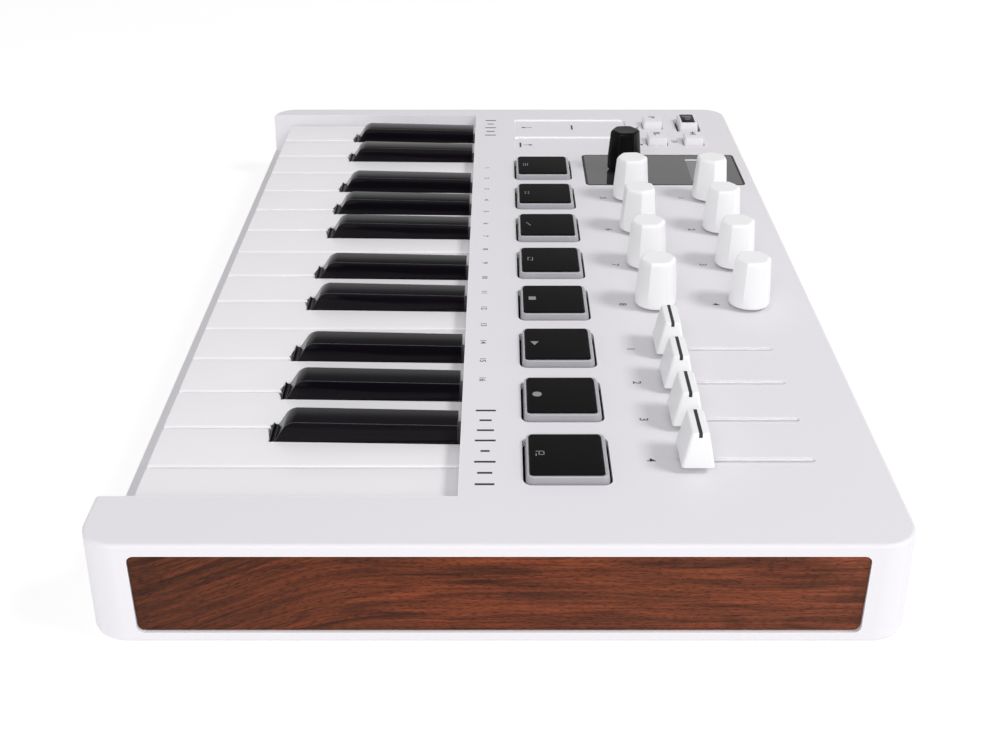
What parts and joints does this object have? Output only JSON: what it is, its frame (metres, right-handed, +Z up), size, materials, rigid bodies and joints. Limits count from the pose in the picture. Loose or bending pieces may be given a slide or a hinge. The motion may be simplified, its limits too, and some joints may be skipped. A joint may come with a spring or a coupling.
{
  "type": "midi keyboard",
  "caption": "Compact MIDI keyboard in a flat white case with wooden end panels: slim piano keys that press, velocity pads, endless knobs, faders, touch strips and a small display.",
  "frame": {"origin": "on the table, under the middle of the case's footprint", "axes": "+X to the player's right along the keyboard, +Y to the rear of the case, +Z up"},
  "size_m": [0.355, 0.22, 0.05],
  "materials": {
    "case_white": "fine matte moulded texture",
    "key_white": "semi-gloss",
    "key_black": "gloss",
    "pad_rubber": "satin silicone with a translucent light frame",
    "knob_white": "satin",
    "knob_black": "satin",
    "window_black": "polished",
    "rosewood": "satin open grain",
    "foot_rubber": "matte",
    "screw_steel": "zinc plated",
    "circuit_board": "solder mask",
    "chassis_grey": "moulded"
  },
  "bodies": {
    "case": {"top_case": "case_white", "bottom_case": "case_white", "wood_side_panels": "rosewood", "rubber_feet": "foot_rubber", "case_screws": "screw_steel", "display_window": "window_black", "control_board": "circuit_board", "key_chassis": "chassis_grey", "key_contact_board": "circuit_board"},
    "white_key_1": {"white_key_1": "key_white"},
    "white_key_2": {"white_key_2": "key_white"},
    "white_key_3": {"white_key_3": "key_white"},
    "white_key_4": {"white_key_4": "key_white"},
    "white_key_5": {"white_key_5": "key_white"},
    "white_key_6": {"white_key_6": "key_white"},
    "white_key_7": {"white_key_7": "key_white"},
    "white_key_8": {"white_key_8": "key_white"},
    "white_key_9": {"white_key_9": "key_white"},
    "white_key_10": {"white_key_10": "key_white"},
    "white_key_11": {"white_key_11": "key_white"},
    "white_key_12": {"white_key_12": "key_white"},
    "white_key_13": {"white_key_13": "key_white"},
    "white_key_14": {"white_key_14": "key_white"},
    "white_key_15": {"white_key_15": "key_white"},
    "black_key_1": {"black_key_1": "key_black"},
    "black_key_2": {"black_key_2": "key_black"},
    "black_key_3": {"black_key_3": "key_black"},
    "black_key_4": {"black_key_4": "key_black"},
    "black_key_5": {"black_key_5": "key_black"},
    "black_key_6": {"black_key_6": "key_black"},
    "black_key_7": {"black_key_7": "key_black"},
    "black_key_8": {"black_key_8": "key_black"},
    "black_key_9": {"black_key_9": "key_black"},
    "black_key_10": {"black_key_10": "key_black"},
    "pad_1": {"pad_1": "pad_rubber"},
    "pad_2": {"pad_2": "pad_rubber"},
    "pad_3": {"pad_3": "pad_rubber"},
    "pad_4": {"pad_4": "pad_rubber"},
    "pad_5": {"pad_5": "pad_rubber"},
    "pad_6": {"pad_6": "pad_rubber"},
    "pad_7": {"pad_7": "pad_rubber"},
    "pad_8": {"pad_8": "pad_rubber"},
    "knob_1": {"knob_1": "knob_white"},
    "knob_2": {"knob_2": "knob_white"},
    "knob_3": {"knob_3": "knob_white"},
    "knob_4": {"knob_4": "knob_white"},
    "knob_5": {"knob_5": "knob_white"},
    "knob_6": {"knob_6": "knob_white"},
    "knob_7": {"knob_7": "knob_white"},
    "knob_8": {"knob_8": "knob_white"},
    "browse_rotor": {"browse_rotor": "screw_steel"},
    "browse_knob": {"browse_knob": "knob_black"},
    "fader_cap_1": {"fader_cap_1": "knob_white"},
    "fader_cap_2": {"fader_cap_2": "knob_white"},
    "fader_cap_3": {"fader_cap_3": "knob_white"},
    "fader_cap_4": {"fader_cap_4": "knob_white"},
    "button_1": {"button_1": "knob_white"},
    "button_2": {"button_2": "knob_white"},
    "button_3": {"button_3": "knob_white"},
    "button_4": {"button_4": "knob_white"}
  },
  "joints": [
    {"name": "white_key_1_press", "type": "hinge", "parent": "case", "child": "white_key_1", "pos_m": [-0.15966, -0.002, 0.019], "axis": [1, 0, 0], "range_deg": [0, 4.2], "stiffness_Nm_per_rad": 0.4, "springref_deg": -3.44},
    {"name": "white_key_2_press", "type": "hinge", "parent": "case", "child": "white_key_2", "pos_m": [-0.13439, -0.002, 0.019], "axis": [1, 0, 0], "range_deg": [0, 4.2], "stiffness_Nm_per_rad": 0.4, "springref_deg": -3.44},
    {"name": "white_key_3_press", "type": "hinge", "parent": "case", "child": "white_key_3", "pos_m": [-0.10911, -0.002, 0.019], "axis": [1, 0, 0], "range_deg": [0, 4.2], "stiffness_Nm_per_rad": 0.4, "springref_deg": -3.44},
    {"name": "white_key_4_press", "type": "hinge", "parent": "case", "child": "white_key_4", "pos_m": [-0.09599, -0.002, 0.019], "axis": [1, 0, 0], "range_deg": [0, 4.2], "stiffness_Nm_per_rad": 0.4, "springref_deg": -3.44},
    {"name": "white_key_5_press", "type": "hinge", "parent": "case", "child": "white_key_5", "pos_m": [-0.07187, -0.002, 0.019], "axis": [1, 0, 0], "range_deg": [0, 4.2], "stiffness_Nm_per_rad": 0.4, "springref_deg": -3.44},
    {"name": "white_key_6_press", "type": "hinge", "parent": "case", "child": "white_key_6", "pos_m": [-0.04729, -0.002, 0.019], "axis": [1, 0, 0], "range_deg": [0, 4.2], "stiffness_Nm_per_rad": 0.4, "springref_deg": -3.44},
    {"name": "white_key_7_press", "type": "hinge", "parent": "case", "child": "white_key_7", "pos_m": [-0.02317, -0.002, 0.019], "axis": [1, 0, 0], "range_deg": [0, 4.2], "stiffness_Nm_per_rad": 0.4, "springref_deg": -3.44},
    {"name": "white_key_8_press", "type": "hinge", "parent": "case", "child": "white_key_8", "pos_m": [-0.01005, -0.002, 0.019], "axis": [1, 0, 0], "range_deg": [0, 4.2], "stiffness_Nm_per_rad": 0.4, "springref_deg": -3.44},
    {"name": "white_key_9_press", "type": "hinge", "parent": "case", "child": "white_key_9", "pos_m": [0.01523, -0.002, 0.019], "axis": [1, 0, 0], "range_deg": [0, 4.2], "stiffness_Nm_per_rad": 0.4, "springref_deg": -3.44},
    {"name": "white_key_10_press", "type": "hinge", "parent": "case", "child": "white_key_10", "pos_m": [0.0405, -0.002, 0.019], "axis": [1, 0, 0], "range_deg": [0, 4.2], "stiffness_Nm_per_rad": 0.4, "springref_deg": -3.44},
    {"name": "white_key_11_press", "type": "hinge", "parent": "case", "child": "white_key_11", "pos_m": [0.05362, -0.002, 0.019], "axis": [1, 0, 0], "range_deg": [0, 4.2], "stiffness_Nm_per_rad": 0.4, "springref_deg": -3.44},
    {"name": "white_key_12_press", "type": "hinge", "parent": "case", "child": "white_key_12", "pos_m": [0.07774, -0.002, 0.019], "axis": [1, 0, 0], "range_deg": [0, 4.2], "stiffness_Nm_per_rad": 0.4, "springref_deg": -3.44},
    {"name": "white_key_13_press", "type": "hinge", "parent": "case", "child": "white_key_13", "pos_m": [0.10232, -0.002, 0.019], "axis": [1, 0, 0], "range_deg": [0, 4.2], "stiffness_Nm_per_rad": 0.4, "springref_deg": -3.44},
    {"name": "white_key_14_press", "type": "hinge", "parent": "case", "child": "white_key_14", "pos_m": [0.12644, -0.002, 0.019], "axis": [1, 0, 0], "range_deg": [0, 4.2], "stiffness_Nm_per_rad": 0.4, "springref_deg": -3.44},
    {"name": "white_key_15_press", "type": "hinge", "parent": "case", "child": "white_key_15", "pos_m": [0.14346, -0.002, 0.019], "axis": [1, 0, 0], "range_deg": [0, 4.2], "stiffness_Nm_per_rad": 0.4, "springref_deg": -3.44},
    {"name": "black_key_1_press", "type": "hinge", "parent": "case", "child": "black_key_1", "pos_m": [-0.14737, -0.002, 0.019], "axis": [1, 0, 0], "range_deg": [0, 4.2], "stiffness_Nm_per_rad": 0.4, "springref_deg": -3.44},
    {"name": "black_key_2_press", "type": "hinge", "parent": "case", "child": "black_key_2", "pos_m": [-0.1214, -0.002, 0.019], "axis": [1, 0, 0], "range_deg": [0, 4.2], "stiffness_Nm_per_rad": 0.4, "springref_deg": -3.44},
    {"name": "black_key_3_press", "type": "hinge", "parent": "case", "child": "black_key_3", "pos_m": [-0.08415, -0.002, 0.019], "axis": [1, 0, 0], "range_deg": [0, 4.2], "stiffness_Nm_per_rad": 0.4, "springref_deg": -3.44},
    {"name": "black_key_4_press", "type": "hinge", "parent": "case", "child": "black_key_4", "pos_m": [-0.05958, -0.002, 0.019], "axis": [1, 0, 0], "range_deg": [0, 4.2], "stiffness_Nm_per_rad": 0.4, "springref_deg": -3.44},
    {"name": "black_key_5_press", "type": "hinge", "parent": "case", "child": "black_key_5", "pos_m": [-0.03501, -0.002, 0.019], "axis": [1, 0, 0], "range_deg": [0, 4.2], "stiffness_Nm_per_rad": 0.4, "springref_deg": -3.44},
    {"name": "black_key_6_press", "type": "hinge", "parent": "case", "child": "black_key_6", "pos_m": [0.00224, -0.002, 0.019], "axis": [1, 0, 0], "range_deg": [0, 4.2], "stiffness_Nm_per_rad": 0.4, "springref_deg": -3.44},
    {"name": "black_key_7_press", "type": "hinge", "parent": "case", "child": "black_key_7", "pos_m": [0.02821, -0.002, 0.019], "axis": [1, 0, 0], "range_deg": [0, 4.2], "stiffness_Nm_per_rad": 0.4, "springref_deg": -3.44},
    {"name": "black_key_8_press", "type": "hinge", "parent": "case", "child": "black_key_8", "pos_m": [0.06546, -0.002, 0.019], "axis": [1, 0, 0], "range_deg": [0, 4.2], "stiffness_Nm_per_rad": 0.4, "springref_deg": -3.44},
    {"name": "black_key_9_press", "type": "hinge", "parent": "case", "child": "black_key_9", "pos_m": [0.09003, -0.002, 0.019], "axis": [1, 0, 0], "range_deg": [0, 4.2], "stiffness_Nm_per_rad": 0.4, "springref_deg": -3.44},
    {"name": "black_key_10_press", "type": "hinge", "parent": "case", "child": "black_key_10", "pos_m": [0.1146, -0.002, 0.019], "axis": [1, 0, 0], "range_deg": [0, 4.2], "stiffness_Nm_per_rad": 0.4, "springref_deg": -3.44},
    {"name": "pad_1_press", "type": "slide", "parent": "case", "child": "pad_1", "axis": [0, 0, -1], "range_m": [0, 0.0008], "stiffness_N_per_m": 2500, "springref_m": -0.0002},
    {"name": "pad_2_press", "type": "slide", "parent": "case", "child": "pad_2", "axis": [0, 0, -1], "range_m": [0, 0.0008], "stiffness_N_per_m": 2500, "springref_m": -0.0002},
    {"name": "pad_3_press", "type": "slide", "parent": "case", "child": "pad_3", "axis": [0, 0, -1], "range_m": [0, 0.0008], "stiffness_N_per_m": 2500, "springref_m": -0.0002},
    {"name": "pad_4_press", "type": "slide", "parent": "case", "child": "pad_4", "axis": [0, 0, -1], "range_m": [0, 0.0008], "stiffness_N_per_m": 2500, "springref_m": -0.0002},
    {"name": "pad_5_press", "type": "slide", "parent": "case", "child": "pad_5", "axis": [0, 0, -1], "range_m": [0, 0.0008], "stiffness_N_per_m": 2500, "springref_m": -0.0002},
    {"name": "pad_6_press", "type": "slide", "parent": "case", "child": "pad_6", "axis": [0, 0, -1], "range_m": [0, 0.0008], "stiffness_N_per_m": 2500, "springref_m": -0.0002},
    {"name": "pad_7_press", "type": "slide", "parent": "case", "child": "pad_7", "axis": [0, 0, -1], "range_m": [0, 0.0008], "stiffness_N_per_m": 2500, "springref_m": -0.0002},
    {"name": "pad_8_press", "type": "slide", "parent": "case", "child": "pad_8", "axis": [0, 0, -1], "range_m": [0, 0.0008], "stiffness_N_per_m": 2500, "springref_m": -0.0002},
    {"name": "knob_1_turn", "type": "hinge", "parent": "case", "child": "knob_1", "pos_m": [0.03865, 0.0542, 0.032], "axis": [0, 0, 1], "continuous": true},
    {"name": "knob_2_turn", "type": "hinge", "parent": "case", "child": "knob_2", "pos_m": [0.0058, 0.0542, 0.032], "axis": [0, 0, 1], "continuous": true},
    {"name": "knob_3_turn", "type": "hinge", "parent": "case", "child": "knob_3", "pos_m": [-0.02705, 0.0542, 0.032], "axis": [0, 0, 1], "continuous": true},
    {"name": "knob_4_turn", "type": "hinge", "parent": "case", "child": "knob_4", "pos_m": [-0.0599, 0.0542, 0.032], "axis": [0, 0, 1], "continuous": true},
    {"name": "knob_5_turn", "type": "hinge", "parent": "case", "child": "knob_5", "pos_m": [0.03865, 0.0867, 0.032], "axis": [0, 0, 1], "continuous": true},
    {"name": "knob_6_turn", "type": "hinge", "parent": "case", "child": "knob_6", "pos_m": [0.0058, 0.0867, 0.032], "axis": [0, 0, 1], "continuous": true},
    {"name": "knob_7_turn", "type": "hinge", "parent": "case", "child": "knob_7", "pos_m": [-0.02705, 0.0867, 0.032], "axis": [0, 0, 1], "continuous": true},
    {"name": "knob_8_turn", "type": "hinge", "parent": "case", "child": "knob_8", "pos_m": [-0.0599, 0.0867, 0.032], "axis": [0, 0, 1], "continuous": true},
    {"name": "browse_turn", "type": "hinge", "parent": "case", "child": "browse_rotor", "pos_m": [-0.09305, 0.0542, 0.032], "axis": [0, 0, 1], "continuous": true},
    {"name": "browse_push", "type": "slide", "parent": "browse_rotor", "child": "browse_knob", "axis": [0, 0, -1], "range_m": [0, 0.0005], "stiffness_N_per_m": 6000, "springref_m": -0.0003},
    {"name": "fader_1_slide", "type": "slide", "parent": "case", "child": "fader_cap_1", "axis": [0, 1, 0], "range_m": [0, 0.03]},
    {"name": "fader_2_slide", "type": "slide", "parent": "case", "child": "fader_cap_2", "axis": [0, 1, 0], "range_m": [0, 0.03]},
    {"name": "fader_3_slide", "type": "slide", "parent": "case", "child": "fader_cap_3", "axis": [0, 1, 0], "range_m": [0, 0.03]},
    {"name": "fader_4_slide", "type": "slide", "parent": "case", "child": "fader_cap_4", "axis": [0, 1, 0], "range_m": [0, 0.03]},
    {"name": "button_1_press", "type": "slide", "parent": "case", "child": "button_1", "axis": [0, 0, -1], "range_m": [0, 0.0005], "stiffness_N_per_m": 4000, "springref_m": -0.0002},
    {"name": "button_2_press", "type": "slide", "parent": "case", "child": "button_2", "axis": [0, 0, -1], "range_m": [0, 0.0005], "stiffness_N_per_m": 4000, "springref_m": -0.0002},
    {"name": "button_3_press", "type": "slide", "parent": "case", "child": "button_3", "axis": [0, 0, -1], "range_m": [0, 0.0005], "stiffness_N_per_m": 4000, "springref_m": -0.0002},
    {"name": "button_4_press", "type": "slide", "parent": "case", "child": "button_4", "axis": [0, 0, -1], "range_m": [0, 0.0005], "stiffness_N_per_m": 4000, "springref_m": -0.0002}
  ]
}
